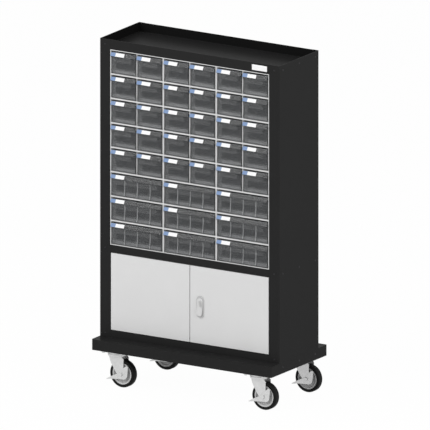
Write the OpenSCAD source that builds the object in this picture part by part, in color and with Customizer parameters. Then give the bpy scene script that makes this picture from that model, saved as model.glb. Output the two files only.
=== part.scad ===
// Parts bin cabinet on casters: a folded sheet-metal carcass with a recessed top
// tray, moulded bin housings with pull-out bins, a two-door cupboard and a wheeled base.
// Origin: on the floor under the middle of the base. X to the right, front faces -Y.

/* [Bin field] */
// Columns of bin housings
columns = 3; // [1:1:4]
// Rows of housings that hold two small bins each
small_rows = 5; // [1:1:6]
// Rows of housings that hold one wide bin each
wide_rows = 3; // [1:1:4]
// Width that one housing takes in the field
module_w = 274; // [220:1:320]
// Height that one housing takes in the field
module_h = 111; // [95:1:140]
// Width of the frame round a housing's mouth
rim_w = 3.2; // [3:0.1:8]
// Depth of the frame round a housing's mouth
rim_d = 8; // [4:1:15]
// Wall of a housing behind its frame
housing_wall = 2.5; // [1.5:0.25:4]
// Thickness of the web between twin bins
web_w = 2.5; // [2:0.25:8]
// Width of a runner rib that a bin slides on
runner_w = 8; // [4:1:14]

/* [Bins] */
// Wall of a bin
bin_wall = 2; // [1.2:0.1:3]
// Clearance at each side of a bin
bin_side_gap = 2.5; // [0.3:0.1:4]
// Clearance between a bin and its runners
bin_under_gap = 0.3; // [0.2:0.1:0.6]
// Clearance over a bin's front
bin_over_gap = 6; // [2:0.5:8]
// Length of a bin, front plane to back wall
bin_d = 280; // [200:1:320]
// Space behind a bin that is pushed in
bin_back_gap = 9.5; // [1:0.5:30]
// Height of the sloping label lip
lip_h = 17; // [12:1:24]
// How far the foot of the lip stands in front of the housing
lip_out = 10; // [4:1:16]
// Thickness of the lip
lip_t = 2.5; // [1.5:0.25:4]
// How far the front is set back right under the lip
brow_in = 2; // [0:0.5:6]
// How far the hollowed front is set back at half height
finger_d = 3; // [1:1:16]
// How far the foot of the front stands in front of the housing
toe_out = 2; // [0:0.5:5]
// Height of the foot of the front
toe_h = 5; // [3:1:10]
// How far a bin's sides are cut down behind the front
side_drop = 12; // [4:1:30]
// Depth of the full-height part of a bin's sides
side_full = 40; // [20:1:80]
// Dividers in a wide bin
dividers = 3; // [1:1:5]
// Thickness of a divider
divider_t = 2; // [1:0.25:3]
// Width of a rib that guides a divider
guide_w = 1.6; // [1:0.2:3]
// Depth of a rib that guides a divider
guide_d = 4; // [2:0.5:8]

/* [Cabinet shell] */
// Depth from the back of a housing to the rear of the cabinet
rear_space = 36; // [6:1:120]
// Thickness of the sheet metal
sheet = 1.5; // [1:0.1:2]
// Seam left between neighbouring sheets
seam = 0.2; // [0.1:0.05:0.3]
// Width of the front stile of a side panel
stile_w = 54; // [40:1:80]
// Depth of the stile's return lip
stile_lip = 22; // [15:1:40]
// Width of the side panel's rear flange
rear_flange = 30; // [20:1:40]
// Outer radius of the upright bends
bend_r = 3; // [3:0.5:12]
// Height of the rim round the top tray
tray_rim_h = 44; // [25:1:80]
// Height of the rail between bins and doors
mid_rail_h = 34; // [32:1:60]
// Height of the rail under the doors
low_rail_h = 33; // [32:1:60]
// Height of the turned-down edge round a deck
deck_edge_h = 30; // [20:1:31]
// Depth of the hem along the foot of a rail
hem_d = 14; // [12:1:18]

/* [Doors] */
// Height of the door opening
door_open_h = 355; // [250:1:450]
// Thickness of a door
door_t = 18; // [16:1:24]
// Thickness of the door sheet
door_sheet = 1.2; // [0.8:0.1:2]
// Outer radius of a door's upright front edges
door_r = 2.5; // [2.5:0.5:5]
// Width of the returned edge at the back of a door
door_lip = 16; // [12:1:30]
// Gap over and under a door
door_gap = 3; // [2:0.5:5]
// Gap between a door and the stile
door_side_gap = 2.5; // [2:0.5:4]
// Gap between the two doors
door_meet_gap = 3; // [2:0.5:6]
// Distance of the pivot from the door's outer edge
pivot_in = 12; // [10:0.5:16]
// Distance of the pivot from the door's face
pivot_back = 6.5; // [6:0.5:8]
// Radius of a pivot pin
pin_r = 3; // [2:0.25:4]
// Length of a pivot pin inside the door
pin_l = 10; // [6:1:20]
// Radial running clearance of pins, spindles and axles
run_gap = 0.05; // [0.02:0.01:0.09]
// Gap between a shut door and its stop
stop_gap = 1; // [0.5:0.1:2]
// Width of the tab that stops the doors
stop_w = 120; // [60:5:200]
// Height of the tab that stops the doors
stop_h = 12; // [6:1:20]
// Distance of the handle from the door's free edge
handle_in = 54; // [30:1:80]
// Distance of the handle's middle below the door's middle
handle_drop = 8; // [0:1:60]
// Width of the handle's rose
rose_w = 37; // [30:1:50]
// Height of the handle's rose
rose_h = 100; // [80:1:140]
// Thickness of the rose
rose_t = 4; // [2:0.5:8]
// Width of the lever
lever_w = 28; // [16:1:32]
// Height of the lever
lever_h = 82; // [60:1:110]
// Thickness of the lever at its spindle
lever_t = 4; // [3:0.5:6]
// How far the lever's free end stands off the rose
lever_off = 8; // [7:0.5:20]
// Radius of the spindle
spindle_r = 5; // [3:0.5:7]
// Length of the cam on the spindle
cam_l = 30; // [20:1:40]
// Thickness of the cam
cam_t = 3; // [2:0.5:4]

/* [Base] */
// Height of the base
base_h = 49; // [35:1:80]
// Thickness of the base plate
base_t = 2.5; // [1.5:0.5:4]
// Ledge in front of and behind the cabinet
ledge = 69; // [20:1:120]
// Corner radius of the base
base_r = 6; // [4:0.5:12]
// Width of the turned-in foot of the base
base_lip = 18; // [10:1:30]
// Width of the cross channel over a pair of casters
channel_w = 130; // [125:1:180]
// Distance of a kingpin from the side of the base
caster_in_x = 97; // [75:1:140]
// Distance of a kingpin from the front or rear of the base
caster_in_y = 53; // [52:1:80]

/* [Casters] */
// Height of a caster, floor to mounting plate
caster_h = 162; // [158:1:180]
// Radius of a wheel over its tyre
wheel_r = 62.5; // [55:0.5:64]
// Width of the tyre
tyre_w = 32; // [26:1:34]
// Radius of the tyre's shoulder
shoulder_r = 6; // [2:0.5:8]
// Radius of the rim under the tyre
rim_r = 49; // [42:0.5:52]
// Radius at which the rim's flange ends and the dished web starts
dish_r = 42; // [34:0.5:44]
// How far the rim's flange is set in from the tyre's sides
flange_in = 1.5; // [0.5:0.5:4]
// Thickness of the wheel's web
wheel_web = 9; // [6:1:14]
// Radius of the wheel's hub
hub_r = 14; // [10:0.5:18]
// Length of the hub
hub_w = 39; // [36:1:42]
// Distance of the axle behind the kingpin
trail = 36; // [30:1:45]
// Radius of the axle bolt
axle_r = 5; // [4:0.25:6]
// Radius of the kingpin
kingpin_r = 7; // [5:0.5:9]
// Length of the mounting plate
plate_l = 112; // [104:1:120]
// Width of the mounting plate
plate_w = 92; // [88:1:102]
// Thickness of the mounting plate
plate_t = 3.5; // [2.5:0.5:6]
// Corner radius of the mounting plate
plate_r = 8; // [4:1:14]
// Radius of the swivel head
head_r = 39; // [36:1:44]
// How far the upper half of the swivel head is set in
head_step = 3; // [2:0.5:8]
// Height of each half of the swivel head
race_h = 8; // [4:0.5:10]
// Thickness of the fork's legs and crown
fork_t = 3; // [2:0.5:4]
// Gap between the hub and a fork leg
hub_gap = 0.5; // [0.3:0.1:1]
// How far a fork leg reaches ahead of the kingpin
leg_front = 26; // [16:1:36]
// How far a fork leg's straight rear edge stands behind the axle
leg_back = 13; // [10:1:15]
// How far the upper rear corner of a fork leg is cut off
leg_nick = 11; // [4:1:16]
// Radius of a fork leg round the axle
boss_r = 20; // [16:1:21]
// Thickness of the brake lever's cheeks
cheek_t = 2.5; // [2:0.5:4]
// Radius of a cheek's rounded heel
cheek_r = 22; // [18:1:28]
// Distance of the heel's middle behind the axle
heel_back = 12; // [0:1:14]
// Reach of a cheek's tail behind the axle
tail_reach = 31; // [20:1:37]
// Rise of a cheek's tail above the axle
tail_rise = 34; // [20:1:44]
// Radius of a cheek's tail
tail_r = 7; // [4:0.5:10]
// Height of the cheek's arm halfway to the pedal
arm_h = 14; // [8:1:20]
// Length of the brake pedal
pedal_l = 9; // [6:1:10]
// Thickness of the brake pedal
pedal_t = 3; // [2:0.5:5]
// Reach of the brake pedal ahead of the axle
pedal_reach = 73; // [72:1:90]
// Drop of the brake pedal's tip below the axle
pedal_drop = 31; // [24:1:36]
// Distance of a mounting bolt from the plate's edges
bolt_edge = 10; // [9:0.5:12]
// Radius of a mounting bolt
bolt_r = 4; // [3:0.5:5]
// Height of a mounting bolt's head
bolt_head_h = 5; // [4:0.5:7]

/* [Hidden] */
$fn = 48;
BLACK = "#2b2b2b";
LIGHT = "#dcdcdc";
ZINC = "#d0d0d2";
SMOKE = "#55585a";
EPS = 0.01;
// Radial clearance of a bolt in its hole
BOLT_FREE = 0.25;
// Clearance between parts that move past each other
LOOSE = 0.3;
// Corner radius and height of a hex nut against its thread radius
HEX = 1.9;
NUT_H = 1.6;
// How strongly the front edge of a fork leg is curved: 1 is straight
LEG_BEND = 1.5;
// How far a cutting body runs past a face, and a fused one into its neighbour
CUT = 1;
SINK = 0.8;
// Where the edges of a fork leg and of a brake's arm meet their round ends: the angle in
// degrees, and the depth inside the round end as a share of its radius
BOSS_ANGLE = 190;
ARM_ANGLE = 165;
ROOT = 0.96;

rows = small_rows + wide_rows;
field_w = columns * module_w;
housing_d = bin_d + bin_back_gap + housing_wall;
cabinet_d = housing_d + rear_space;
cabinet_w = field_w + 2 * stile_w;
base_d = cabinet_d + 2 * ledge;

// Levels, floor upwards
z_base = caster_h;
z_cabinet = z_base + base_h;
z_low = z_cabinet + low_rail_h;
z_door_top = z_low + door_open_h;
z_mid = z_door_top + mid_rail_h;
z_tray = z_mid + rows * module_h;
z_top = z_tray + tray_rim_h;
y_front = -cabinet_d / 2;
y_back = cabinet_d / 2;

// Footprint of the pans that stand inside the side panels
pan_w = cabinet_w - 2 * (sheet + seam);
pan_d = cabinet_d - 2 * (sheet + seam);
pan_r = bend_r;
rail_w = field_w - 2 * seam;
y_back_panel = y_back - 2 * sheet - seam;

// Housings and bins
housing_w = module_w - seam;
housing_h = module_h - seam;
mouth_w = housing_w - 2 * rim_w;
mouth_h = housing_h - 2 * rim_w;
bay_w = (mouth_w - web_w) / 2;
small_w = bay_w - 2 * bin_side_gap;
wide_w = mouth_w - 2 * bin_side_gap;
bin_h = mouth_h - bin_under_gap - bin_over_gap;
lip_z = bin_h - lip_h;
brow_z = lip_z - lip_t;

// Doors
door_h = door_open_h - 2 * door_gap;
door_w = (field_w - 2 * door_side_gap - door_meet_gap) / 2;
x_pivot = field_w / 2 - door_side_gap - pivot_in;
y_pivot = y_front + pivot_back;
z_door = z_low + door_gap;
x_handle = door_meet_gap / 2 + handle_in;
z_handle = z_door + door_h / 2 - handle_drop;
spindle_up = lever_h / 2 - lever_w / 2;
z_spindle = z_handle + spindle_up;
bush_r = pivot_back - door_sheet / 2;

// Casters
x_king = cabinet_w / 2 - caster_in_x;
y_king = base_d / 2 - caster_in_y;
z_plate = z_base - seam - plate_t;
z_upper_race = z_plate - race_h;
z_lower_race = z_upper_race - LOOSE - race_h;
z_crown = z_lower_race - fork_t;
leg_in = hub_w / 2 + hub_gap;
leg_out = leg_in + fork_t;
cheek_in = leg_out + LOOSE;
cheek_out = cheek_in + cheek_t;
bolt_in = cheek_out + LOOSE;
leg_top = z_lower_race - wheel_r;
plate_bolt_x = plate_l / 2 - bolt_edge;
plate_bolt_y = plate_w / 2 - bolt_edge;
CORNERS = [[-1, -1, "front_left"], [1, -1, "front_right"], [-1, 1, "rear_left"], [1, 1, "rear_right"]];

function small_name(r, c) = str("small_bin_", r, "_", c);
function wide_name(r, c) = str("wide_bin_", r, "_", c);

// ---- shared shapes ----

// Rectangle with four true round corners, centred
module round_rect(w, d, r) {
    square([w - 2 * r, d], center = true);
    square([w, d - 2 * r], center = true);
    for (x = [-1, 1]) for (y = [-1, 1])
        translate([x * (w / 2 - r), y * (d / 2 - r)]) circle(r);
}

// Upright slot shape with half-round ends, centred
module slot_shape(w, h) {
    square([w, h - w], center = true);
    for (z = [-1, 1]) translate([0, z * (h - w) / 2]) circle(w / 2);
}

// Turns an outline drawn as (y, z) into a bar along X, centred on X = 0
module bar_x(w) {
    translate([-w / 2, 0, 0]) rotate([90, 0, 90]) linear_extrude(w) children();
}

// Turns an outline drawn as (x, z) into a plate from Y = y to Y = y + t
module plate_y(y, t) {
    translate([0, y + t, 0]) rotate([90, 0, 0]) linear_extrude(t) children();
}

// Round bar along Y
module rod_y(r, y0, y1) {
    translate([0, y0, 0]) rotate([-90, 0, 0]) cylinder(r = r, h = y1 - y0);
}

// Bar with round ends of two radii and tangent sides, from p to q
module taper_link(p, rp, q, rq) {
    v = q - p;
    l = norm(v);
    a = atan2(v[1], v[0]);
    b = acos((rp - rq) / l);
    translate(p) circle(rp);
    translate(q) circle(rq);
    polygon([
        p + rp * [cos(a + b), sin(a + b)], p + rp * [cos(a - b), sin(a - b)],
        q + rq * [cos(a - b), sin(a - b)], q + rq * [cos(a + b), sin(a + b)]
    ]);
}

// ---- cabinet shell ----

// Block with its two outer corners rounded, outer edge on x = 0
module bent_block(w, d, r) {
    translate([r, 0]) square([w - r, d]);
    translate([0, r]) square([w, d - 2 * r]);
    for (y = [r, d - r]) translate([r, y]) circle(r);
}

// Section of the left side panel: stile, side and rear flange in one folded sheet
module side_section() {
    difference() {
        bent_block(stile_w, cabinet_d, bend_r);
        translate([sheet, sheet]) bent_block(stile_w, cabinet_d - 2 * sheet, bend_r - sheet);
        translate([rear_flange, cabinet_d - bend_r]) square([stile_w, 2 * bend_r]);
    }
}

module left_side_panel() {
    translate([-cabinet_w / 2, y_front, z_cabinet + seam])
        linear_extrude(z_top - z_cabinet - seam) side_section();
    // The return lip is notched out where the rails pass
    for (span = [[z_low, z_door_top], [z_mid, z_tray]])
        translate([-field_w / 2 - sheet, y_front, span[0] + seam])
            cube([sheet, stile_lip, span[1] - span[0] - 2 * seam]);
}

module outer_panels() color(BLACK) {
    left_side_panel();
    mirror([1, 0, 0]) left_side_panel();
    back_panel();
}

// Folded pan of the tray, and the front rail that closes it off between the stiles
module top_tray() color(BLACK) {
    translate([0, 0, z_tray]) difference() {
        linear_extrude(tray_rim_h) round_rect(pan_w, pan_d, pan_r);
        translate([0, 0, sheet]) linear_extrude(tray_rim_h)
            round_rect(pan_w - 2 * sheet, pan_d - 2 * sheet, pan_r - sheet);
    }
    translate([-rail_w / 2, y_front, z_tray]) cube([rail_w, sheet, tray_rim_h]);
}

// Outline of a deck: the pan's footprint, stopped in front of the back panel
module deck_outline(inset) {
    intersection() {
        round_rect(pan_w - 2 * inset, pan_d - 2 * inset, pan_r - inset);
        translate([-pan_w, -cabinet_d]) square([2 * pan_w, cabinet_d + y_back_panel - seam - inset]);
    }
}

// Deck with turned-down edges and a front rail flush with the stiles
module deck(z, rail_h) {
    translate([0, 0, z - deck_edge_h]) difference() {
        linear_extrude(deck_edge_h) deck_outline(0);
        translate([0, 0, -sheet]) linear_extrude(deck_edge_h) deck_outline(sheet);
    }
    translate([-rail_w / 2, y_front, z - sheet]) cube([rail_w, 2 * sheet, sheet]);
    translate([-rail_w / 2, y_front, z - rail_h]) cube([rail_w, sheet, rail_h]);
    translate([-rail_w / 2, y_front, z - rail_h]) cube([rail_w, hem_d, sheet]);
}

// Pivot pins and their thrust collars, rising from the lower deck
module low_pins() {
    for (x = [-1, 1]) translate([x * x_pivot, y_pivot, z_low - sheet]) {
        cylinder(r = pin_r, h = sheet + door_gap + pin_l);
        cylinder(r = bush_r, h = sheet + door_gap - LOOSE);
    }
}

module top_pins() {
    for (x = [-1, 1]) translate([x * x_pivot, y_pivot, z_door_top - door_gap - pin_l])
        cylinder(r = pin_r, h = pin_l + door_gap + sheet);
}

// Tab behind the meeting edges of the doors
module door_stop() {
    y_stop = y_front + door_t + stop_gap;
    translate([-stop_w / 2, y_front + hem_d - sheet, z_door_top])
        cube([stop_w, y_stop - y_front - hem_d + 2 * sheet, sheet]);
    translate([-stop_w / 2, y_stop, z_door_top - stop_h]) cube([stop_w, sheet, stop_h + sheet]);
}

module decks() color(BLACK) {
    union() {
        deck(z_low, low_rail_h - seam);
        low_pins();
    }
    union() {
        deck(z_mid, mid_rail_h);
        top_pins();
        door_stop();
    }
}

module back_panel() {
    w = cabinet_w - 2 * (bend_r + seam);
    translate([-w / 2, y_back_panel, z_cabinet + seam])
        cube([w, sheet, z_tray - z_cabinet - 2 * seam]);
}

// ---- housings ----

// Cavity of one bay: mouth, then the wider space behind the frame, with two runners
module bay(w, left_free, right_free) {
    translate([-w / 2, -EPS, rim_w]) cube([w, rim_d + 2 * EPS, mouth_h]);
    x0 = -w / 2 - (left_free ? rim_w - housing_wall : 0);
    x1 = w / 2 + (right_free ? rim_w - housing_wall : 0);
    difference() {
        translate([x0, rim_d, housing_wall])
            cube([x1 - x0, housing_d - rim_d - housing_wall, housing_h - 2 * housing_wall]);
        for (x = [-w / 4, w / 4]) translate([x - runner_w / 2, 0, 0])
            cube([runner_w, housing_d, rim_w]);
    }
}

// One moulded housing: foot on z = 0, front on y = 0
module housing(twin) {
    difference() {
        translate([-housing_w / 2, 0, 0]) cube([housing_w, housing_d, housing_h]);
        if (twin) {
            translate([-(bay_w + web_w) / 2, 0, 0]) bay(bay_w, true, false);
            translate([(bay_w + web_w) / 2, 0, 0]) bay(bay_w, false, true);
        } else {
            bay(mouth_w, true, true);
        }
    }
}

function column_x(c) = (c - (columns + 1) / 2) * module_w;
function row_z(r) = z_tray - r * module_h;

module bin_housings() color("#c9cbcc") {
    for (r = [1 : rows]) for (c = [1 : columns])
        translate([column_x(c), y_front, row_z(r) + seam / 2]) housing(r <= small_rows);
}

// ---- bins ----

// Scooped front of a bin between its toe (t = 0) and its brow (t = 1): how far it is set back
function front_y(t) =
    let (c = 2 * (brow_in - toe_out) - 4 * finger_d)
    -toe_out + (brow_in + toe_out - c) * t + c * t * t;
FRONT_STEPS = 8;
function front_curve(off) =
    [for (i = [0 : FRONT_STEPS])
        let (t = 1 - i / FRONT_STEPS) [front_y(t) + off, toe_h + (brow_z - toe_h) * t]];

// Side view of a bin from outside: back, sides, label lip, brow, scooped front and toe
module bin_outline() {
    polygon(concat(
        [[bin_d, 0], [bin_d, bin_h - side_drop], [side_full + side_drop, bin_h - side_drop],
            [side_full, bin_h], [0, bin_h], [-lip_out, lip_z], [-lip_out, brow_z]],
        front_curve(0),
        [[toe_out, 0]]
    ));
}

// Side view of the space in a bin, open at the top
module bin_space() {
    polygon(concat(
        [[bin_d - bin_wall, bin_wall], [bin_d - bin_wall, bin_h + CUT], [lip_t, bin_h + CUT],
            [lip_t, bin_h], [lip_t - lip_out, lip_z], [brow_in + bin_wall, lip_z]],
        [for (p = front_curve(bin_wall)) if (p[1] > bin_wall) p],
        [[toe_out + bin_wall, bin_wall]]
    ));
}

function divider_x(w, i) = -w / 2 + w * i / (dividers + 1);

// Pairs of ribs on the front and back walls that hold the dividers
module divider_guides(w) {
    for (i = [1 : dividers]) for (s = [-1, 1]) {
        x = divider_x(w, i) + s * (divider_t / 2 + seam + guide_w / 2);
        translate([x, 0, 0]) bar_x(guide_w) difference() {
            translate([-lip_out, 0]) square([bin_d + lip_out, brow_z]);
            polygon(concat([[bin_d - bin_wall - guide_d, 0], [bin_d - bin_wall - guide_d, bin_h]],
                [[brow_in + bin_wall + guide_d, bin_h]], front_curve(bin_wall + guide_d),
                [[toe_out + bin_wall + guide_d, 0]]));
        }
    }
}

module divider() {
    bar_x(divider_t) polygon(concat(
        [[bin_d - bin_wall - seam, bin_wall + seam], [bin_d - bin_wall - seam, bin_h - side_drop],
            [side_full, brow_z - seam]],
        [for (p = front_curve(bin_wall + seam)) if (p[1] > toe_h) p - [0, seam]],
        [[toe_out + 2 * bin_wall, bin_wall + seam]]
    ));
}

// One bin: foot on z = 0, front plane on y = 0
module bin_tub(w, with_guides) {
    difference() {
        bar_x(w) bin_outline();
        difference() {
            bar_x(w - 2 * bin_wall) bin_space();
            if (with_guides) divider_guides(w);
        }
    }
}

module place_bin(r, x) {
    translate([x, y_front, row_z(r) + seam / 2 + rim_w + bin_under_gap]) children();
}

module small_bin(r, c) color(SMOKE) {
    side = (c % 2 == 1) ? -1 : 1;
    place_bin(r, column_x(ceil(c / 2)) + side * (bay_w + web_w) / 2) bin_tub(small_w, false);
}

module wide_bin(r, c) color(SMOKE) place_bin(r, column_x(c)) {
    bin_tub(wide_w, true);
    for (i = [1 : dividers]) translate([divider_x(wide_w, i), 0, 0]) divider();
}

// ---- doors ----

// Plan of a door with two rounded front edges, front on y = 0
module door_plan(w, t, r) {
    translate([r, 0]) square([w - 2 * r, t]);
    translate([0, r]) square([w, t - r]);
    for (x = [r, w - r]) translate([x, r]) circle(r);
}

// Door pan with returned edges, drawn for the right side
module door_pan() {
    inner = door_sheet;
    translate([door_meet_gap / 2, y_front, z_door]) difference() {
        linear_extrude(door_h) door_plan(door_w, door_t, door_r);
        translate([inner, inner, inner]) linear_extrude(door_h - 2 * inner)
            door_plan(door_w - 2 * inner, door_t - 2 * inner, door_r - inner);
        translate([door_lip, door_t / 2, door_lip])
            cube([door_w - 2 * door_lip, door_t, door_h - 2 * door_lip]);
    }
}

module door_bush() {
    cylinder(r = bush_r, h = pin_l + door_sheet);
}

module door_leaf() {
    difference() {
        union() {
            door_pan();
            translate([x_pivot, y_pivot, z_door]) door_bush();
            translate([x_pivot, y_pivot, z_door + door_h]) mirror([0, 0, 1]) door_bush();
        }
        for (z = [z_door - CUT, z_door + door_h - pin_l - LOOSE])
            translate([x_pivot, y_pivot, z]) cylinder(r = pin_r + run_gap, h = pin_l + LOOSE + CUT);
    }
}

module door_left() color(LIGHT) mirror([1, 0, 0]) door_leaf();

module door_right() color(LIGHT) difference() {
    union() {
        door_leaf();
        translate([x_handle, 0, z_handle]) plate_y(y_front - rose_t, rose_t + door_sheet / 2)
            slot_shape(rose_w, rose_h);
    }
    translate([x_handle, 0, z_spindle])
        rod_y(spindle_r + run_gap, y_front - rose_t - CUT, y_front + door_t);
}

// Lever that stands off further towards its free end, on a spindle with a cam
module door_handle() color(LIGHT) {
    y_rose = y_front - rose_t - LOOSE;
    intersection() {
        translate([x_handle, 0, z_handle]) plate_y(y_rose - lever_off, lever_off)
            slot_shape(lever_w, lever_h);
        translate([x_handle, y_rose, z_handle]) bar_x(lever_w + 2 * CUT) polygon([
            [0, lever_h / 2], [0, spindle_up - lever_w / 2], [lever_t - lever_off, -lever_h / 2],
            [-lever_off, -lever_h / 2], [-lever_off, -lever_h / 4],
            [-lever_t, spindle_up - lever_w / 2], [-lever_t, lever_h / 2]
        ]);
    }
    translate([x_handle, 0, z_spindle]) {
        rod_y(spindle_r, y_rose - lever_t / 2, y_front + door_t + LOOSE + cam_t / 2);
        plate_y(y_front + door_t + LOOSE, cam_t) {
            circle(2 * spindle_r);
            translate([-spindle_r, 0]) square([2 * spindle_r, cam_l - spindle_r]);
            translate([0, cam_l - spindle_r]) circle(spindle_r);
        }
    }
}

// ---- base ----

module each_corner() {
    for (k = CORNERS) translate([k[0] * x_king, k[1] * y_king, 0]) children();
}

module bolt_grid() {
    for (x = [-1, 1]) for (y = [-1, 1])
        translate([x * plate_bolt_x, y * plate_bolt_y, 0]) children();
}

module chassis() {
    translate([0, 0, z_base]) difference() {
        union() {
            difference() {
                linear_extrude(base_h) round_rect(cabinet_w, base_d, base_r);
                translate([0, 0, -base_t]) linear_extrude(base_h)
                    round_rect(cabinet_w - 2 * base_t, base_d - 2 * base_t, base_r - base_t);
            }
            linear_extrude(base_t) difference() {
                round_rect(cabinet_w, base_d, base_r);
                square([cabinet_w - 2 * base_lip, base_d - 2 * base_lip], center = true);
            }
            for (x = [-1, 1]) translate([x * x_king, 0, 0]) cross_channel();
        }
        each_corner() bolt_grid() translate([0, 0, -CUT])
            cylinder(r = bolt_r + BOLT_FREE, h = base_t + 2 * CUT);
    }
}

// Channel that carries a front and a rear caster, foot on z = 0
module cross_channel() {
    d = base_d - base_t;
    translate([-channel_w / 2, -d / 2, 0]) cube([channel_w, d, base_t]);
    for (x = [-channel_w / 2, channel_w / 2 - base_t])
        translate([x, -d / 2, 0]) cube([base_t, d, base_h - base_t / 2]);
}

// Mounting plate with the upper half of the swivel head and the kingpin
module caster_plate() {
    difference() {
        translate([0, 0, z_plate]) linear_extrude(plate_t) round_rect(plate_l, plate_w, plate_r);
        bolt_grid() translate([0, 0, z_plate - CUT])
            cylinder(r = bolt_r + BOLT_FREE, h = plate_t + 2 * CUT);
    }
    translate([0, 0, z_upper_race]) cylinder(r = head_r - head_step, h = race_h + plate_t / 2);
    translate([0, 0, z_crown - LOOSE - fork_t])
        cylinder(r = kingpin_r, h = z_plate - z_crown + LOOSE + fork_t);
    translate([0, 0, z_crown - LOOSE - fork_t]) cylinder(r = kingpin_r + head_step, h = fork_t);
}

// Hex bolt up through the plate and the channel, with its nut
module plate_bolt() {
    z_head = z_plate - seam - bolt_head_h;
    z_nut = z_base + base_t + seam;
    translate([0, 0, z_head]) cylinder(r = bolt_r * HEX, h = bolt_head_h, $fn = 6);
    translate([0, 0, z_head]) cylinder(r = bolt_r, h = z_nut - z_head + NUT_H * bolt_r + 2 * CUT);
    translate([0, 0, z_nut]) cylinder(r = bolt_r * HEX, h = NUT_H * bolt_r, $fn = 6);
}

module base_chassis() color(BLACK) chassis();

module caster_mounts() color(ZINC) each_corner() {
    caster_plate();
    bolt_grid() plate_bolt();
}

// ---- casters, drawn with the kingpin on the Z axis ----

// Fork leg seen from the side, axle on the origin
module leg_outline() {
    top = [-trail - leg_front, leg_top];
    foot = ROOT * boss_r * [cos(BOSS_ANGLE), sin(BOSS_ANGLE)];
    circle(boss_r);
    polygon(concat(
        [for (t = [0 : 0.25 : 1])
            [top[0] + (foot[0] - top[0]) * pow(t, LEG_BEND), top[1] + (foot[1] - top[1]) * t]],
        [[0, 0], [leg_back, 0], [leg_back, leg_top - leg_nick], [leg_back - leg_nick, leg_top]]
    ));
}

module fork() {
    difference() {
        union() {
            translate([0, 0, z_lower_race]) cylinder(r = head_r, h = race_h);
            translate([0, 0, z_crown]) linear_extrude(fork_t + race_h / 2) {
                circle(head_r - head_step);
                translate([-leg_front, -leg_out])
                    square([leg_front + trail + leg_back - leg_nick, 2 * leg_out]);
            }
            translate([trail, 0, wheel_r]) for (y = [-leg_out, leg_in])
                plate_y(y, fork_t) leg_outline();
        }
        translate([0, 0, z_crown - CUT])
            cylinder(r = kingpin_r + run_gap, h = race_h + fork_t + 2 * CUT);
        translate([trail, 0, wheel_r]) rod_y(axle_r + BOLT_FREE, -leg_out - CUT, leg_out + CUT);
    }
}

module axle_bolt() {
    translate([trail, 0, wheel_r]) {
        rod_y(axle_r, -bolt_in - SINK, bolt_in + SINK);
        for (y = [-bolt_in - axle_r, bolt_in])
            translate([0, y, 0]) rotate([-90, 0, 0]) cylinder(r = axle_r * HEX, h = axle_r, $fn = 6);
    }
}

module caster_fork() color(ZINC) {
    fork();
    axle_bolt();
}

// Half section of the tyre: flat tread, round shoulders
module tyre_section() {
    translate([rim_r, -tyre_w / 2]) square([wheel_r - rim_r - shoulder_r, tyre_w]);
    translate([rim_r, -tyre_w / 2 + shoulder_r]) square([wheel_r - rim_r, tyre_w - 2 * shoulder_r]);
    for (s = [-1, 1]) translate([wheel_r - shoulder_r, s * (tyre_w / 2 - shoulder_r)])
        circle(shoulder_r);
}

// Half section of the rim: hub, dished web, flange
module rim_section() {
    bore = axle_r + run_gap;
    flange_w = tyre_w - 2 * flange_in;
    translate([bore, -hub_w / 2]) square([hub_r - bore, hub_w]);
    translate([hub_r - SINK, -wheel_web / 2]) square([dish_r - hub_r + 2 * SINK, wheel_web]);
    translate([dish_r, -flange_w / 2]) square([rim_r - seam - dish_r, flange_w]);
}

module caster_wheel() {
    translate([trail, 0, wheel_r]) rotate([90, 0, 0]) {
        color("#1c1c1c") rotate_extrude() tyre_section();
        color("#a5a5a5") rotate_extrude() rim_section();
    }
}

// Brake lever: two cheeks on the axle, joined by the pedal in front of the wheel
module cheek_outline() {
    tip = [-pedal_reach, -pedal_drop];
    middle = 0.6 * tip;
    heel = [heel_back, 0];
    taper_link(heel, cheek_r, [tail_reach, tail_rise], tail_r);
    polygon([heel, heel + ROOT * cheek_r * [cos(ARM_ANGLE), sin(ARM_ANGLE)],
        middle + [0, arm_h / 2], tip + [0, pedal_t], tip, middle - [0, arm_h / 2],
        heel - [0, ROOT * cheek_r]]);
}

module caster_brake() color(ZINC) {
    tip = [-pedal_reach, -pedal_drop];
    heel = tip + [pedal_l, pedal_l / 2];
    translate([trail, 0, wheel_r]) {
        for (y = [-cheek_out, cheek_in]) difference() {
            plate_y(y, cheek_t) cheek_outline();
            rod_y(axle_r + run_gap, y - CUT, y + cheek_t + CUT);
        }
        plate_y(-cheek_out, 2 * cheek_out)
            polygon([tip, tip + [0, pedal_t], heel + [0, pedal_t], heel]);
    }
}

// ---- drawing ----

outer_panels();
top_tray();
decks();
bin_housings();
base_chassis();
caster_mounts();
door_left();
door_right();
door_handle();
for (k = CORNERS) translate([k[0] * x_king, k[1] * y_king, 0]) {
    caster_fork();
    caster_wheel();
    caster_brake();
}
for (r = [1 : small_rows]) for (c = [1 : 2 * columns])
    small_bin(r, c);
for (r = [small_rows + 1 : rows]) for (c = [1 : columns])
    wide_bin(r, c);
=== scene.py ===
"""Looks of a parts bin cabinet on casters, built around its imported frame."""

import math

import bmesh
import bpy
from mathutils import Matrix, Vector


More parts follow.
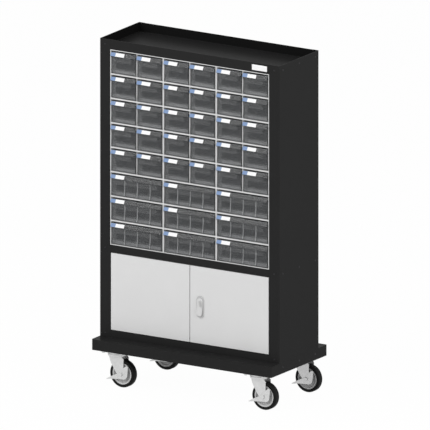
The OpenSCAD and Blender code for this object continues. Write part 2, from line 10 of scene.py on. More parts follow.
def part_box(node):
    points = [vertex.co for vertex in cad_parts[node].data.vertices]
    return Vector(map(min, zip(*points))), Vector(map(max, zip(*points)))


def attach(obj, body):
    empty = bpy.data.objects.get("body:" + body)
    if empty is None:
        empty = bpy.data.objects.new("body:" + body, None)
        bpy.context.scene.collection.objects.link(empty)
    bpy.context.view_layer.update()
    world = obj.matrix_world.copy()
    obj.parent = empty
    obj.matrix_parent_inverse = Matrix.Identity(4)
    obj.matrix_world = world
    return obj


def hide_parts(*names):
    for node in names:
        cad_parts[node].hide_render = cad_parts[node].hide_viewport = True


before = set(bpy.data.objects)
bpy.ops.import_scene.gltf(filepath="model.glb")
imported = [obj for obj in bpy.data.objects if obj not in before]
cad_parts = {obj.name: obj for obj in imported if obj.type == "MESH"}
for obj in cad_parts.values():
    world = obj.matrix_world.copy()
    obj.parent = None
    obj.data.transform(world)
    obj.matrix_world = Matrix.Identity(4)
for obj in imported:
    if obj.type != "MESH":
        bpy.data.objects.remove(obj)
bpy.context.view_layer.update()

MM = 0.001
# The plane of the cabinet's front, in millimetres. The stiles, rails, doors and bins end in it.
FRONT = -164
CORNERS = ("front_left", "front_right", "rear_left", "rear_right")
SMALL_BINS = sorted(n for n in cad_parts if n.startswith("small_bin_"))
WIDE_BINS = sorted(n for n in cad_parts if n.startswith("wide_bin_"))


def point(x, y, z):
    """A place given in millimetres, as a vector in metres."""
    return Vector((x, y, z)) * MM


def span(node):
    """Lowest and highest corner of a CAD node, in millimetres."""
    low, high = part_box(node)
    return low / MM, high / MM


# ---- material tools ----

def linear(code):
    """An sRGB hex colour as linear RGBA."""
    values = [int(code[i:i + 2], 16) / 255 for i in (1, 3, 5)]
    return [v / 12.92 if v <= 0.04045 else ((v + 0.055) / 1.055) ** 2.4 for v in values] + [1.0]


def add_node(tree, kind, settings=None, links=None):
    """Adds a node to a tree, with socket values or properties, and the sockets that feed it."""
    node = tree.nodes.new(kind)
    for key, value in (settings or {}).items():
        if isinstance(key, int) or key in node.inputs:
            node.inputs[key].default_value = value
        else:
            setattr(node, key, value)
    for key, source in (links or {}).items():
        tree.links.new(source, node.inputs[key])
    return node


def start_material(name, colour, settings):
    """A material with one Principled shader and object coordinates in millimetres."""
    material = bpy.data.materials.new(name)
    material.use_nodes = True
    tree = material.node_tree
    tree.nodes.clear()
    shader = add_node(tree, "ShaderNodeBsdfPrincipled", {"Base Color": linear(colour), **settings})
    add_node(tree, "ShaderNodeOutputMaterial", links={"Surface": shader.outputs["BSDF"]})
    place = add_node(tree, "ShaderNodeTexCoord")
    scale = add_node(tree, "ShaderNodeVectorMath", {"operation": "SCALE", "Scale": 1 / MM},
                     {0: place.outputs["Object"]})
    return material, tree, shader, scale.outputs["Vector"]


def grain(tree, where, size_mm, detail):
    """Noise whose lumps measure about size_mm across."""
    return add_node(tree, "ShaderNodeTexNoise", {"Scale": 1 / size_mm, "Detail": detail},
                    {"Vector": where}).outputs["Fac"]


def ramp(tree, factor, low, high):
    """Maps a factor of 0..1 to low..high."""
    return add_node(tree, "ShaderNodeMapRange", {"To Min": low, "To Max": high},
                    {"Value": factor}).outputs["Result"]


def blend_colours(tree, factor, first, second):
    """Mixes two hex colours by a factor."""
    mix = add_node(tree, "ShaderNodeMix", {"data_type": "RGBA"}, {"Factor": factor})
    mix.inputs[6].default_value = linear(first)
    mix.inputs[7].default_value = linear(second)
    return mix.outputs[2]


def bump(tree, height, strength, depth_mm):
    """A bump normal from a height of 0..1."""
    return add_node(tree, "ShaderNodeBump", {"Strength": strength, "Distance": depth_mm * MM},
                    {"Height": height}).outputs["Normal"]


# ---- materials ----

def powder_coat(name, colour, shade, roughness, level):
    """Polyester powder coat baked on sheet steel: satin, with the fine lumps of orange peel.
    The lumps, about 1.5 mm across on the real thing, are drawn 4 mm wide so that they show."""
    material, tree, shader, where = start_material(name, colour, {"Specular IOR Level": level})
    peel = grain(tree, where, 4, 2.0)
    drift = grain(tree, where, 160, 2.0)
    tree.links.new(blend_colours(tree, drift, colour, shade), shader.inputs["Base Color"])
    tree.links.new(ramp(tree, peel, roughness - 0.05, roughness + 0.07),
                   shader.inputs["Roughness"])
    tree.links.new(bump(tree, peel, 0.25, 0.12), shader.inputs["Normal"])
    return material


# The black coat's two shades, its roughness and its specular level
BLACK_SHADES = ("#282828", "#2a2a2a", 0.3, 0.012)
# Just past the inner faces of the tray's front and rear walls, and just over its floor
TRAY_HALF, TRAY_FLOOR = 161.2, 1525
# Painted shade: the deeper black painted on the tray's inner walls above its floor
TRAY_PAINTED_SHADE = "#191919"


def tray_coat_with_painted_shade():
    """The black coat of the tray, with painted shade. Its inner walls catch hardly any light, so
    the black is painted deeper above the floor, between the inner faces of the front and rear
    walls."""
    material = powder_coat("black_polyester_powder_coat_with_painted_tray_shade", *BLACK_SHADES)
    tree = material.node_tree
    shader = next(n for n in tree.nodes if n.type == "BSDF_PRINCIPLED")
    where = next(n for n in tree.nodes if n.type == "VECT_MATH").outputs["Vector"]
    axes = add_node(tree, "ShaderNodeSeparateXYZ", links={"Vector": where}).outputs
    inside = add_node(tree, "ShaderNodeMath", {"operation": "COMPARE", 1: 0.0, 2: TRAY_HALF},
                      {0: axes["Y"]})
    above = add_node(tree, "ShaderNodeMath", {"operation": "GREATER_THAN", 1: TRAY_FLOOR},
                     {0: axes["Z"]})
    painted_shade_mask = add_node(tree, "ShaderNodeMath", {"operation": "MULTIPLY"},
                    {0: inside.outputs[0], 1: above.outputs[0]})
    mix = add_node(tree, "ShaderNodeMix", {"data_type": "RGBA"},
                   {"Factor": painted_shade_mask.outputs[0],
                    6: shader.inputs["Base Color"].links[0].from_socket})
    mix.inputs[7].default_value = linear(TRAY_PAINTED_SHADE)
    tree.links.new(mix.outputs[2], shader.inputs["Base Color"])
    return material


def painted_casting():
    """Painted zinc die casting: harder and smoother than the coat of the sheets, so lights show
    on it more clearly."""
    material, tree, shader, where = start_material("grey_painted_zinc_casting", "#d2d2d2", {})
    lumps = grain(tree, where, 9, 2.0)
    tree.links.new(ramp(tree, lumps, 0.24, 0.34), shader.inputs["Roughness"])
    tree.links.new(bump(tree, lumps, 0.15, 0.2), shader.inputs["Normal"])
    return material


def moulded_housing():
    """Injection-moulded impact polystyrene: pale grey, matt from an etched mould, a little
    uneven in shade where the melt has flowed."""
    material, tree, shader, where = start_material("grey_moulded_polystyrene", "#d6d6d6", {})
    flow = grain(tree, where, 45, 3.0)
    etch = grain(tree, where, 2.5, 2.0)
    tree.links.new(blend_colours(tree, flow, "#cbcbcb", "#d6d6d6"), shader.inputs["Base Color"])
    tree.links.new(ramp(tree, etch, 0.42, 0.58), shader.inputs["Roughness"])
    tree.links.new(bump(tree, etch, 0.2, 0.1), shader.inputs["Normal"])
    return material


def smoke_polystyrene(name, colour, alpha):
    """Smoke-tinted clear polystyrene, 2 mm thick and polished: part of the light passes straight
    through, the pigment gives the rest a dark grey haze, and the skin mirrors softly."""
    material, tree, shader, where = start_material(name, colour, {"Alpha": alpha, "IOR": 1.58})
    draw = add_node(tree, "ShaderNodeMapping", {"Scale": (1 / 30, 1 / 30, 1 / 90)},
                    {"Vector": where})
    streaks = add_node(tree, "ShaderNodeTexNoise", {"Scale": 1.0, "Detail": 2.0},
                       {"Vector": draw.outputs["Vector"]}).outputs["Fac"]
    tree.links.new(ramp(tree, streaks, 0.12, 0.24), shader.inputs["Roughness"])
    return material


def zinc_plate():
    """Bright zinc plate on pressed steel: pale, with a cloudy lustre."""
    material, tree, shader, where = start_material("bright_zinc_plated_steel", "#dcdcdc",
                                                   {"Metallic": 0.85})
    cloud = grain(tree, where, 14, 4.0)
    tree.links.new(blend_colours(tree, cloud, "#c4c4c4", "#d8d8d8"), shader.inputs["Base Color"])
    tree.links.new(ramp(tree, cloud, 0.34, 0.5), shader.inputs["Roughness"])
    tree.links.new(bump(tree, grain(tree, where, 3, 2.0), 0.15, 0.08), shader.inputs["Normal"])
    return material


def tyre_rubber():
    """Black rubber, moulded and slightly bloomed: dull, with a faint grain."""
    material, tree, shader, where = start_material("black_moulded_rubber", "#0c0c0c",
                                                   {"Specular IOR Level": 0.15})
    bloom = grain(tree, where, 10, 3.0)
    tree.links.new(blend_colours(tree, bloom, "#0a0a0a", "#101010"), shader.inputs["Base Color"])
    tree.links.new(ramp(tree, bloom, 0.6, 0.8), shader.inputs["Roughness"])
    tree.links.new(bump(tree, grain(tree, where, 2, 2.0), 0.25, 0.15), shader.inputs["Normal"])
    return material


def rim_polyamide():
    """Grey moulded polyamide: satin, with a faint flow grain."""
    material, tree, shader, where = start_material("grey_moulded_polyamide", "#c2c2c2", {})
    flow = grain(tree, where, 12, 3.0)
    tree.links.new(blend_colours(tree, flow, "#bebebe", "#c8c8c8"), shader.inputs["Base Color"])
    tree.links.new(ramp(tree, flow, 0.4, 0.55), shader.inputs["Roughness"])
    return material


def printed_card(name, colour, shade):
    """Coated card for a label: matt, with the slight mottle of its coating."""
    material, tree, shader, where = start_material(name, colour, {"Specular IOR Level": 0.3})
    mottle = grain(tree, where, 5, 2.0)
    tree.links.new(blend_colours(tree, mottle, colour, shade), shader.inputs["Base Color"])
    tree.links.new(ramp(tree, mottle, 0.55, 0.7), shader.inputs["Roughness"])
    return material


def brushed_aluminium():
    """Anodised aluminium, brushed lengthwise: fine scratches along X stretch its highlights. The
    scratches, about 0.1 mm wide on the real thing, are drawn 1 mm wide so that they show."""
    material, tree, shader, where = start_material("brushed_aluminium", "#e6e6e6",
                                                   {"Metallic": 0.9})
    draw = add_node(tree, "ShaderNodeMapping", {"Scale": (1 / 25, 1.0, 1.0)}, {"Vector": where})
    scratches = add_node(tree, "ShaderNodeTexNoise", {"Scale": 1.0, "Detail": 3.0},
                         {"Vector": draw.outputs["Vector"]}).outputs["Fac"]
    tree.links.new(blend_colours(tree, scratches, "#dadada", "#f4f4f4"),
                   shader.inputs["Base Color"])
    tree.links.new(ramp(tree, scratches, 0.3, 0.5), shader.inputs["Roughness"])
    return material


def black_zinc():
    """Black zinc passivation on small screws: nearly black, with a metal's soft shine."""
    material, tree, shader, where = start_material("black_passivated_zinc", "#2c2c2e",
                                                   {"Metallic": 0.7})
    cloud = grain(tree, where, 3, 2.0)
    tree.links.new(ramp(tree, cloud, 0.4, 0.55), shader.inputs["Roughness"])
    return material


def sees_background(tree):
    """1 for rays that look at the background directly, by mirror or through glass, else 0."""
    path = add_node(tree, "ShaderNodeLightPath")
    either = add_node(tree, "ShaderNodeMath", {"operation": "MAXIMUM"},
                      {0: path.outputs["Is Camera Ray"], 1: path.outputs["Is Glossy Ray"]})
    return add_node(tree, "ShaderNodeMath", {"operation": "MAXIMUM"},
                    {0: either.outputs[0], 1: path.outputs["Is Transmission Ray"]}).outputs[0]


# Share of its own white that the floor shows; the rest of what it shows takes the shadow
FLOOR_GLOW = 0.98


def studio_floor():
    """Matt white floor that looks white and still takes the object's shadow."""
    material, tree, shader, _ = start_material("white_studio_floor", "#f4f4f4",
                                               {"Roughness": 0.9, "Specular IOR Level": 0.1})
    glow = add_node(tree, "ShaderNodeEmission", {"Color": (1, 1, 1, 1), "Strength": 1.0})
    share = add_node(tree, "ShaderNodeMath", {"operation": "MULTIPLY", 1: FLOOR_GLOW},
                     {0: sees_background(tree)})
    mix = add_node(tree, "ShaderNodeMixShader",
                   links={0: share.outputs[0], 1: shader.outputs["BSDF"], 2: glow.outputs[0]})
    out = next(n for n in tree.nodes if n.type == "OUTPUT_MATERIAL")
    tree.links.new(mix.outputs[0], out.inputs["Surface"])
    return material


BLACK_COAT = powder_coat("black_polyester_powder_coat", *BLACK_SHADES)
TRAY_COAT = tray_coat_with_painted_shade()
DOOR_COAT = powder_coat("light_grey_polyester_powder_coat", "#dadada", "#d5d5d5", 0.38, 0.4)
CASTING = painted_casting()
HOUSING = moulded_housing()
# Lit and shaded copies of the same plastic, as painted light and painted shade: paler where an
# edge or a thick foot gathers light, darker in shade.
SMOKE = smoke_polystyrene("smoke_clear_polystyrene", "#595b5d", 0.32)
SMOKE_HIGHLIGHT = smoke_polystyrene("smoke_polystyrene_painted_highlight", "#eeeff0", 0.9)
SMOKE_SOFT_LIGHT = smoke_polystyrene("smoke_polystyrene_painted_light", "#dcddde", 0.13)
SMOKE_FOOT_LIGHT = smoke_polystyrene("smoke_polystyrene_painted_light_at_foot", "#f6f7f8", 0.34)
SMOKE_SHADE = smoke_polystyrene("smoke_polystyrene_painted_shade", "#1c1d1e", 0.12)
# Painted shade: a nearly opaque dark copy that stands in for the shade in the gap beside a bin's
# front
SMOKE_DEEP_SHADE = smoke_polystyrene("smoke_polystyrene_painted_dark_shade", "#1c1d1e", 0.85)
ZINC = zinc_plate()
RUBBER = tyre_rubber()
RIM = rim_polyamide()
ROSE_COVER = powder_coat("mid_grey_paint_on_zinc_casting", "#bebebe", "#bababa", 0.4, 0.3)
CARD_BLUE = printed_card("blue_label_card", "#839bc1", "#7d95bc")
CARD_WHITE = printed_card("white_label_card", "#fbfbfb", "#f7f7f7")
PLATE = brushed_aluminium()
SCREW = black_zinc()

CAD_FINISHES = {
    "outer_panels": BLACK_COAT, "top_tray": TRAY_COAT, "decks": BLACK_COAT,
    "base_chassis": BLACK_COAT, "caster_mounts": ZINC, "bin_housings": HOUSING,
    "door_left": DOOR_COAT, "door_right": DOOR_COAT, "door_handle": CASTING,
}
for corner in CORNERS:
    CAD_FINISHES["caster_fork_" + corner] = ZINC
    CAD_FINISHES["caster_brake_" + corner] = ZINC
for bin_name in SMALL_BINS + WIDE_BINS:
    CAD_FINISHES[bin_name] = SMOKE
for node_name, finish in CAD_FINISHES.items():
    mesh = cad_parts[node_name].data
    mesh.materials.clear()
    mesh.materials.append(finish)


# ---- mesh tools ----

def new_piece(name, points, faces, materials, indices=None, smooth=False):
    """A mesh object at the origin. Points are in millimetres."""
    mesh = bpy.data.meshes.new(name)
    mesh.from_pydata([tuple(Vector(p) * MM) for p in points], [], faces)
    for material in materials:
        mesh.materials.append(material)
    if indices:
        mesh.polygons.foreach_set("material_index", indices)
    if smooth:
        mesh.shade_smooth()
    mesh.update()
    piece = bpy.data.objects.new(name, mesh)
    bpy.context.scene.collection.objects.link(piece)
    return piece


def face_outwards(piece):
    """Makes the faces of a closed piece point outwards."""
    shape = bmesh.new()
    shape.from_mesh(piece.data)
    bmesh.ops.remove_doubles(shape, verts=shape.verts, dist=1e-7)
    bmesh.ops.recalc_face_normals(shape, faces=shape.faces)
    shape.to_mesh(piece.data)
    shape.free()


def revolve(profile, steps, centre):
    """Points and faces of a closed outline of (radius, y) spun about the Y axis at a centre."""
    points, faces = [], []
    count = len(profile)
    for i in range(steps):
        angle = 2 * math.pi * i / steps
        for radius, y in profile:
            points.append(Vector(centre) + Vector((radius * math.cos(angle), y,
                                                   radius * math.sin(angle))))
        for k in range(count):
            a, b = i * count + k, i * count + (k + 1) % count
            c, d = ((i + 1) % steps) * count + (k + 1) % count, ((i + 1) % steps) * count + k
            faces.append((a, b, c, d))
    return points, faces


def ring_faces(first, count, rings):
    """Faces of a closed body: equal rings of points stacked from a first index, with end caps."""
    faces = []
    for start in range(first, first + count * (rings - 1), count):
        for k in range(count):
            nxt = (k + 1) % count
            faces.append((start + k, start + nxt, start + count + nxt, start + count + k))
    last = first + count * (rings - 1)
    return faces + [tuple(range(first + count - 1, first - 1, -1)),
                    tuple(range(last, last + count))]


def arc(cx, cy, radius, first, last, steps):
    """Points on an arc, angles in degrees."""
    return [(cx + radius * math.cos(math.radians(first + (last - first) * i / steps)),
             cy + radius * math.sin(math.radians(first + (last - first) * i / steps)))
            for i in range(steps + 1)]


def round_outline(half_width, half_height, radius, tilt=0.0):
    """Gives a function that draws a rectangle with rounded corners, shrunk by an inset."""
    def outline(inset):
        corner, points = radius - inset, []
        for right, up, first in ((1, 1, 0), (-1, 1, 90), (-1, -1, 180), (1, -1, 270)):
            points += arc(right * (half_width - radius), up * (half_height - radius), corner,
                          first, first + 90, 8)
        turn = Matrix.Rotation(math.radians(tilt), 2)
        return [turn @ Vector(p) for p in points]
    return outline


def fixed_plate(name, body, centre, outline, rings, material):
    """A plate on an upright front face, stacked from outlines at rings of (inset, lift)."""
    points = [centre + Vector((x, -lift, z)) for inset, lift in rings for x, z in outline(inset)]
    faces = ring_faces(0, len(points) // len(rings), len(rings))
    plate = new_piece(name, points, faces, [material])
    face_outwards(plate)
    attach(plate, body)


# ---- casters ----

TYRE_OUT, TYRE_IN, TYRE_HALF = 62.5, 49.0, 16.0
HUB_OUT, BORE, HUB_HALF = 14.0, 5.05, 19.5


def tyre_profile():
    """Closed section of the tyre: flat tread, round shoulders and a bead beside the rim."""
    shoulder = 6.5
    side = [(TYRE_IN, -TYRE_HALF + 1.6), (TYRE_IN + 1.2, -TYRE_HALF + 0.4),
            (TYRE_IN + 3, -TYRE_HALF), (TYRE_OUT - shoulder, -TYRE_HALF)]
    corner = arc(TYRE_OUT - shoulder, -TYRE_HALF + shoulder, shoulder, -80, 0, 7)
    half = side + corner
    return half + [(r, -y) for r, y in reversed(half)]


def rim_profile():
    """Closed section of the rim: hub, dished web with a step, and a rounded flange."""
    half = [(BORE, -HUB_HALF), (HUB_OUT - 1, -HUB_HALF), (HUB_OUT, -HUB_HALF + 1),
            (HUB_OUT + 1, -6.5), (HUB_OUT + 3, -4.5), (36, -4.5), (39.5, -7),
            (41, -12.5), (42.5, -14), (44, -14.5), (48, -14.5), (48.8, -13.5)]
    return half + [(r, -y) for r, y in reversed(half)]


for corner in CORNERS:
    low, high = span("caster_wheel_" + corner)
    axle = (low + high) / 2
    points, faces = revolve(tyre_profile(), 96, axle)
    rim_points, rim_faces = revolve(rim_profile(), 96, axle)
    indices = [0] * len(faces) + [1] * len(rim_faces)
    faces += [tuple(i + len(points) for i in face) for face in rim_faces]
    wheel = new_piece("tyre_and_rim_" + corner, points + rim_points, faces, [RUBBER, RIM],
                      indices, smooth=True)
    face_outwards(wheel)
    wheel.data.set_sharp_from_angle(angle=math.radians(38))
    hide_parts("caster_wheel_" + corner)
    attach(wheel, "caster_wheel_" + corner)

# ---- handle ----

# The rose's moulded cover is a shade darker than the lever on it, and so is the oval cover
# of the keyhole near the lever's upper end.
ROSE_X, ROSE_Z, ROSE_HALF_W, ROSE_HALF_H = 55.5, 413.5, 18.8, 50.3
KEYHOLE_X, KEYHOLE_Z, KEYHOLE_HALF_W, KEYHOLE_HALF_H, KEYHOLE_TILT = 60.0, 430.0, 4.4, 14.5, 12
LEVER_FRONT = span("door_handle")[0].y
# The lever's front edges lie in front of LEVER_EDGE_Y and are rounded by LEVER_EDGE_R.
LEVER_EDGE_Y, LEVER_EDGE_R = -170.9, 2.4

fixed_plate("rose_cover", "door_right", Vector((ROSE_X, FRONT, ROSE_Z)),
            round_outline(ROSE_HALF_W, ROSE_HALF_H, ROSE_HALF_W),
            ((0, 0.05), (0, 3.4), (0.8, 4.2)), ROSE_COVER)
fixed_plate("keyhole_cover", "door_handle", Vector((KEYHOLE_X, LEVER_FRONT, KEYHOLE_Z)),
            round_outline(KEYHOLE_HALF_W, KEYHOLE_HALF_H, KEYHOLE_HALF_W, KEYHOLE_TILT),
            ((0, -0.3), (0, 0.4), (0.4, 0.7)), ROSE_COVER)


def rounded_lever():
    """The CAD lever with its front edges rounded off as a casting's are."""
    shape = bmesh.new()
    shape.from_mesh(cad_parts["door_handle"].data)
    bmesh.ops.remove_doubles(shape, verts=shape.verts, dist=1e-6)
    bmesh.ops.dissolve_limit(shape, angle_limit=math.radians(1), verts=shape.verts,
                             edges=shape.edges)
    front = [e for e in shape.edges if len(e.link_faces) == 2
             and e.calc_face_angle() > math.radians(35)
             and max(v.co.y for v in e.verts) < LEVER_EDGE_Y * MM]
    bmesh.ops.bevel(shape, geom=front, offset=LEVER_EDGE_R * MM, segments=3, profile=0.5,
                    affect="EDGES")
    mesh = bpy.data.meshes.new("rounded_lever")
    shape.to_mesh(mesh)
    shape.free()
    mesh.materials.append(CASTING)
    mesh.shade_smooth()
    mesh.set_sharp_from_angle(angle=math.radians(35))
    lever = bpy.data.objects.new("rounded_lever", mesh)
    bpy.context.scene.collection.objects.link(lever)
    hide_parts("door_handle")
    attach(lever, "door_handle")


rounded_lever()

# ---- label cards ----

# The lip falls by LIP_DROP while it comes forward by LIP_OUT. The card starts CARD_DOWN below
# its upper edge and CARD_GAP off its face.
LIP_DROP, LIP_OUT = 17.0, 10.0
CARD_X, CARD_BLUE_W, CARD_W, CARD_T = 0.1, 24.8, 69.8, 0.5
CARD_DOWN, CARD_H, CARD_GAP = 2.9, 16.6, 0.05


def label_card(name, body, left, right, top):
    """A card on a bin's sloping lip: blue field, then white field, no lettering. The rest of the
    lip gets a film of dark smoke plastic as painted shade."""
    slope = Vector((0, -LIP_OUT, -LIP_DROP)).normalized()
    out = Vector((0, -LIP_DROP, LIP_OUT)).normalized()
    start = Vector((left, FRONT, top)) + slope * CARD_DOWN + out * CARD_GAP
    points = []
    for x in (CARD_X, CARD_X + CARD_BLUE_W, CARD_X + CARD_W, right - left - CARD_X):
        for down, lift in ((0, 0), (0, CARD_T), (CARD_H, CARD_T), (CARD_H, 0)):
            points.append(start + Vector((x, 0, 0)) + slope * down + out * lift)
    card = new_piece(name, points, ring_faces(0, 4, 4), [CARD_BLUE, CARD_WHITE, SMOKE_SHADE],
                     [0] * 4 + [1] * 4 + [2] * 4 + [0, 2])
    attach(card, body)


for bin_name in SMALL_BINS + WIDE_BINS:
    low, high = span(bin_name)
    label_card("label_" + bin_name, bin_name, low.x, high.x, high.z)

# ---- painted highlights on the divider edges ----

DIVIDERS = 3
# Width and thickness of a painted edge highlight, its gap behind the bin's front, and how far it
# ends under the lip
EDGE_W, EDGE_T, EDGE_GAP, EDGE_DROP = 4.0, 1.2, 0.25, 6
# Heights over a bin's foot at which its scooped front starts and ends, how far the front is
# set back at its top, bows in between and comes forward at its toe, and its wall
TOE_TOP, LIP_UNDER = 5.0, 78.6
BROW_IN, FINGER, TOE_OUT, BIN_WALL = 2.0, 3.0, 2.0, 2.0


def front_set_back(z):
    """How far a bin's scooped front is set back at a height over its foot."""
    t = (z - TOE_TOP) / (LIP_UNDER - TOE_TOP)
    bend = 2 * (BROW_IN - TOE_OUT) - 4 * FINGER
    return -TOE_OUT + (BROW_IN + TOE_OUT - bend) * t + bend * t * t


def front_strip(points, faces, x0, x1, foot, top, bottom, behind, thick):
    """Adds a closed upright strip that follows a bin's scooped front, some way behind it."""
    steps, base = 10, len(points)
    for k in range(steps + 1):
        z = bottom + (top - bottom) * k / steps
        y = FRONT + front_set_back(z) + behind
        points += [(x0, y, foot + z), (x1, y, foot + z), (x1, y + thick, foot + z),
                   (x0, y + thick, foot + z)]
    faces += ring_faces(base, 4, steps + 1)


def painted_divider_highlights(name, body, low, high):
    """Painted highlights: bright strips at the front edges of a wide bin's dividers, where clear
    plastic gathers the light.
    """
    points, faces = [], []
    pitch = (high.x - low.x) / (DIVIDERS + 1)
    for i in range(1, DIVIDERS + 1):
        x = low.x + pitch * i
        front_strip(points, faces, x - EDGE_W / 2, x + EDGE_W / 2, low.z, LIP_UNDER - EDGE_DROP,
                    TOE_TOP, BIN_WALL + EDGE_GAP, EDGE_T)
    edges = new_piece(name, points, faces, [SMOKE_HIGHLIGHT])
    face_outwards(edges)
    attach(edges, body)


for bin_name in WIDE_BINS:
    low, high = span(bin_name)
    painted_divider_highlights("painted_divider_highlights_" + bin_name[9:], bin_name, low, high)

# ---- painted light and shade in the bins ----

# Thickness of a layer, the step from one to the next, and their gaps to the bin's side walls and
# floor, to the innermost part of its front, and to the underside of its lip
LAYER_T, LAYER_PITCH, LAYER_GAP, LAYER_BACK, LAYER_DROP = 0.5, 1.1, 0.3, 0.5, 4
# Width of the painted light in the left corner and of the painted shade in the right one, height
# of the painted light under the lip, and how far short of the right wall it stops
LEFT_LIT_W, RIGHT_DIM_W, BROW_LIT_H, BROW_SHORT = 18, 14, 24, 28
# Heights of the three layers of painted light at the foot, the nearest first
FOOT_LIT_H = (9, 14, 21)
# How far the dark sheet of painted shade beside a bin's front reaches inwards and outwards, its
# gap in front of the bin, and how far it ends under the lip
SHADE_SHEET_IN, SHADE_SHEET_OUT, SHADE_SHEET_GAP, SHADE_SHEET_DROP = 3.5, 2.2, 0.05, 2


def paint_light_and_shade_in_bin(name, body, low, high):
    """Thin layers of clear plastic behind a bin's front that paint light and shade. The left
    corner, the foot and the part under the lip get painted light, the right corner gets painted
    shade, and a dark sheet of painted shade covers the gap beside it."""
    skins = [SMOKE_SOFT_LIGHT, SMOKE_FOOT_LIGHT, SMOKE_SHADE, SMOKE_DEEP_SHADE]
    soft, glow, dim, shade_sheet_skin = range(4)
    foot, brow = low.z + BIN_WALL + LAYER_GAP, low.z + LIP_UNDER - LAYER_DROP
    left, right = low.x + BIN_WALL + LAYER_GAP, high.x - BIN_WALL - LAYER_GAP
    nearest = FRONT + FINGER + BIN_WALL + LAYER_BACK
    # Pale layers are painted light, dark layers painted shade
    layers = [(left, left + LEFT_LIT_W, foot, brow, soft),
              (left, right - BROW_SHORT, brow - BROW_LIT_H, brow, soft),
              (left, right, foot, foot + FOOT_LIT_H[0], glow),
              (left, right, foot, foot + FOOT_LIT_H[1], glow),
              (left, right, foot, foot + FOOT_LIT_H[2], soft)]
    if body in SMALL_BINS:
        layers.append((right - RIGHT_DIM_W, right, foot, brow, dim))
    points, faces, indices = [], [], []
    for i, (x0, x1, z0, z1, skin) in enumerate(layers):
        y = nearest + LAYER_PITCH * i
        faces += ring_faces(len(points), 4, 2)
        indices += [skin] * 6
        for z in (z0, z1):
            points += [(x0, y, z), (x1, y, z), (x1, y + LAYER_T, z), (x0, y + LAYER_T, z)]
    front_strip(points, faces, high.x - SHADE_SHEET_IN, high.x + SHADE_SHEET_OUT, low.z,
                LIP_UNDER - SHADE_SHEET_DROP, TOE_TOP, -SHADE_SHEET_GAP - LAYER_T, LAYER_T)
    indices += [shade_sheet_skin] * (len(faces) - len(indices))
    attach(new_piece(name, points, faces, skins, indices), body)


for bin_name in SMALL_BINS + WIDE_BINS:
    low, high = span(bin_name)
    paint_light_and_shade_in_bin("layers_" + bin_name, bin_name, low, high)

# ---- screws ----

# Radius and height of a screw's head, and the share of the radius that its flat top has
HEAD_R, HEAD_H, HEAD_TOP = 4.2, 2.2, 0.62
# How far from the middle the screws of the stiles and of the side panels sit, and the latter's
# places along the depth
STILE_X, SIDE_X, SIDE_Y = 438, 465, (-136, 0, 133)
# Heights of each row of screws, on the front and on the sides
SCREW_ROWS = ((1543, 1543), (616, 616), (228, 190))


def screw_tree():
    """Geometry Nodes: a pan-head screw on each point, turned to face along its attribute."""
    tree = bpy.data.node_groups.new("pan_head_screws", "GeometryNodeTree")
    tree.interface.new_socket("Points", in_out="INPUT", socket_type="NodeSocketGeometry")
    for label, value in (("Head radius", HEAD_R * MM), ("Head height", HEAD_H * MM)):
        item = tree.interface.new_socket(label, in_out="INPUT", socket_type="NodeSocketFloat")
        item.default_value = value
    tree.interface.new_socket("Screws", in_out="OUTPUT", socket_type="NodeSocketGeometry")
    given = add_node(tree, "NodeGroupInput").outputs
    edge = add_node(tree, "ShaderNodeMath", {"operation": "MULTIPLY", 1: HEAD_TOP},
                    {0: given["Head radius"]})
    head = add_node(tree, "GeometryNodeMeshCone", {"Vertices": 24},
                    {"Radius Bottom": given["Head radius"], "Radius Top": edge.outputs[0],
                     "Depth": given["Head height"]})
    facing = add_node(tree, "GeometryNodeInputNamedAttribute",
                      {"data_type": "FLOAT_VECTOR", "Name": "facing"})
    turn = add_node(tree, "FunctionNodeAlignRotationToVector", {"axis": "Z"},
                    {"Vector": facing.outputs["Attribute"]})
    copies = add_node(tree, "GeometryNodeInstanceOnPoints",
                      links={"Points": given["Points"], "Instance": head.outputs["Mesh"],
                             "Rotation": turn.outputs["Rotation"]})
    real = add_node(tree, "GeometryNodeRealizeInstances",
                    links={"Geometry": copies.outputs["Instances"]})
    skin = add_node(tree, "GeometryNodeSetMaterial", {"Material": SCREW},
                    {"Geometry": real.outputs["Geometry"]})
    add_node(tree, "NodeGroupOutput", links={0: skin.outputs["Geometry"]})
    return tree


def cabinet_screws():
    """The sheet-metal screws of the front stiles, the side panels and the base, in one mesh."""
    places, facings = [], []
    for front_z, side_z in SCREW_ROWS:
        for side in (-1, 1):
            places.append((side * STILE_X, FRONT, front_z))
            facings.append((0, -1, 0))
            for y in SIDE_Y:
                places.append((side * SIDE_X, y, side_z))
                facings.append((side, 0, 0))
    screws = new_piece("cabinet_screws", places, [], [])
    facing = screws.data.attributes.new("facing", "FLOAT_VECTOR", "POINT")
    facing.data.foreach_set("vector", [v for direction in facings for v in direction])
    tree = screw_tree()
    modifier = screws.modifiers.new("screws", "NODES")
    modifier.node_group = tree
    sizes = {item.name: item.identifier for item in tree.interface.items_tree}
    modifier[sizes["Head radius"]] = HEAD_R * MM
    modifier[sizes["Head height"]] = HEAD_H * MM
    made = bpy.data.meshes.new_from_object(
        screws.evaluated_get(bpy.context.evaluated_depsgraph_get()))
    screws.modifiers.clear()
    screws.data = made
    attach(screws, "cabinet")


cabinet_screws()

# ---- bare plate on the top rail ----

PLATE_X, PLATE_Z, PLATE_HALF_W, PLATE_HALF_H, PLATE_R = 361.8, 1543, 39, 12.5, 2.0

fixed_plate("bare_plate", "cabinet", Vector((PLATE_X, FRONT, PLATE_Z)),
            round_outline(PLATE_HALF_W, PLATE_HALF_H, PLATE_R),
            ((0, 0.0), (0, 0.7), (0.5, 1.0)), PLATE)

# ---- floor, light and camera ----

FLOOR = 9000
LAMP_TARGET = (0, 0, 700)
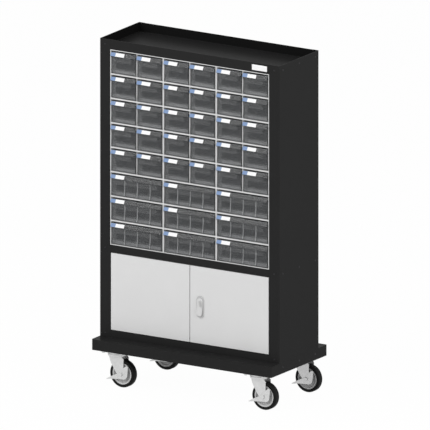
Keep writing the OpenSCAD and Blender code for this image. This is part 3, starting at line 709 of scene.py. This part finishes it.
# Where the camera's place is counted from, how many metres off it stands, and how far it sees
VIEW_MIDDLE, CAMERA_OFF, CAMERA_REACH = (0, 0, 800), 6, 60

floor = new_piece("studio_floor", [(-FLOOR, -FLOOR, 0), (FLOOR, -FLOOR, 0), (FLOOR, FLOOR, 0),
                                   (-FLOOR, FLOOR, 0)], [(0, 1, 2, 3)], [studio_floor()])


def studio_world(strength):
    """Soft white surroundings. What looks at them directly sees plain white."""
    world = bpy.data.worlds.new("studio")
    bpy.context.scene.world = world
    world.use_nodes = True
    tree = world.node_tree
    tree.nodes.clear()
    level = add_node(tree, "ShaderNodeMapRange", {"To Min": strength, "To Max": 1.0},
                     {"Value": sees_background(tree)})
    light = add_node(tree, "ShaderNodeBackground", {"Color": (1, 1, 1, 1)},
                     {"Strength": level.outputs["Result"]})
    add_node(tree, "ShaderNodeOutputWorld", links={"Surface": light.outputs["Background"]})


def soft_box(name, place, target, size, power):
    """A square lamp in millimetres, aimed at a target."""
    lamp = bpy.data.lights.new(name, "AREA")
    lamp.shape = "SQUARE"
    lamp.size = size * MM
    lamp.energy = power
    holder = bpy.data.objects.new(name, lamp)
    holder.location = point(*place)
    holder.rotation_euler = (point(*target) - holder.location).to_track_quat("-Z", "Y").to_euler()
    bpy.context.scene.collection.objects.link(holder)


def studio_camera(azimuth, elevation, height, right, up):
    """A parallel camera, turned to the right of the front and above it, angles in degrees. It
    sees a given height, round a place that lies right of and above the middle of the cabinet."""
    a, e = math.radians(azimuth), math.radians(elevation)
    back = Vector((math.sin(a) * math.cos(e), -math.cos(a) * math.cos(e), math.sin(e)))
    across = Vector((math.cos(a), math.sin(a), 0))
    upright = back.cross(across)
    lens = bpy.data.cameras.new("camera")
    lens.type = "ORTHO"
    lens.ortho_scale = height * MM
    lens.clip_end = CAMERA_REACH
    camera = bpy.data.objects.new("camera", lens)
    middle = point(*VIEW_MIDDLE) + across * right * MM + upright * up * MM
    turn = Matrix((across, upright, back)).transposed().to_4x4()
    camera.matrix_world = Matrix.Translation(middle + back * CAMERA_OFF) @ turn
    bpy.context.scene.collection.objects.link(camera)
    bpy.context.scene.camera = camera


studio_world(strength=0.44)
soft_box("front_key", (-1800, -4200, 3600), LAMP_TARGET, size=4000, power=150)
soft_box("side_fill", (4600, -900, 2200), LAMP_TARGET, size=3600, power=100)
studio_camera(azimuth=31.86, elevation=14.77, height=1891.8, right=24.97, up=-11.92)
bpy.context.scene.view_settings.view_transform = "Standard"
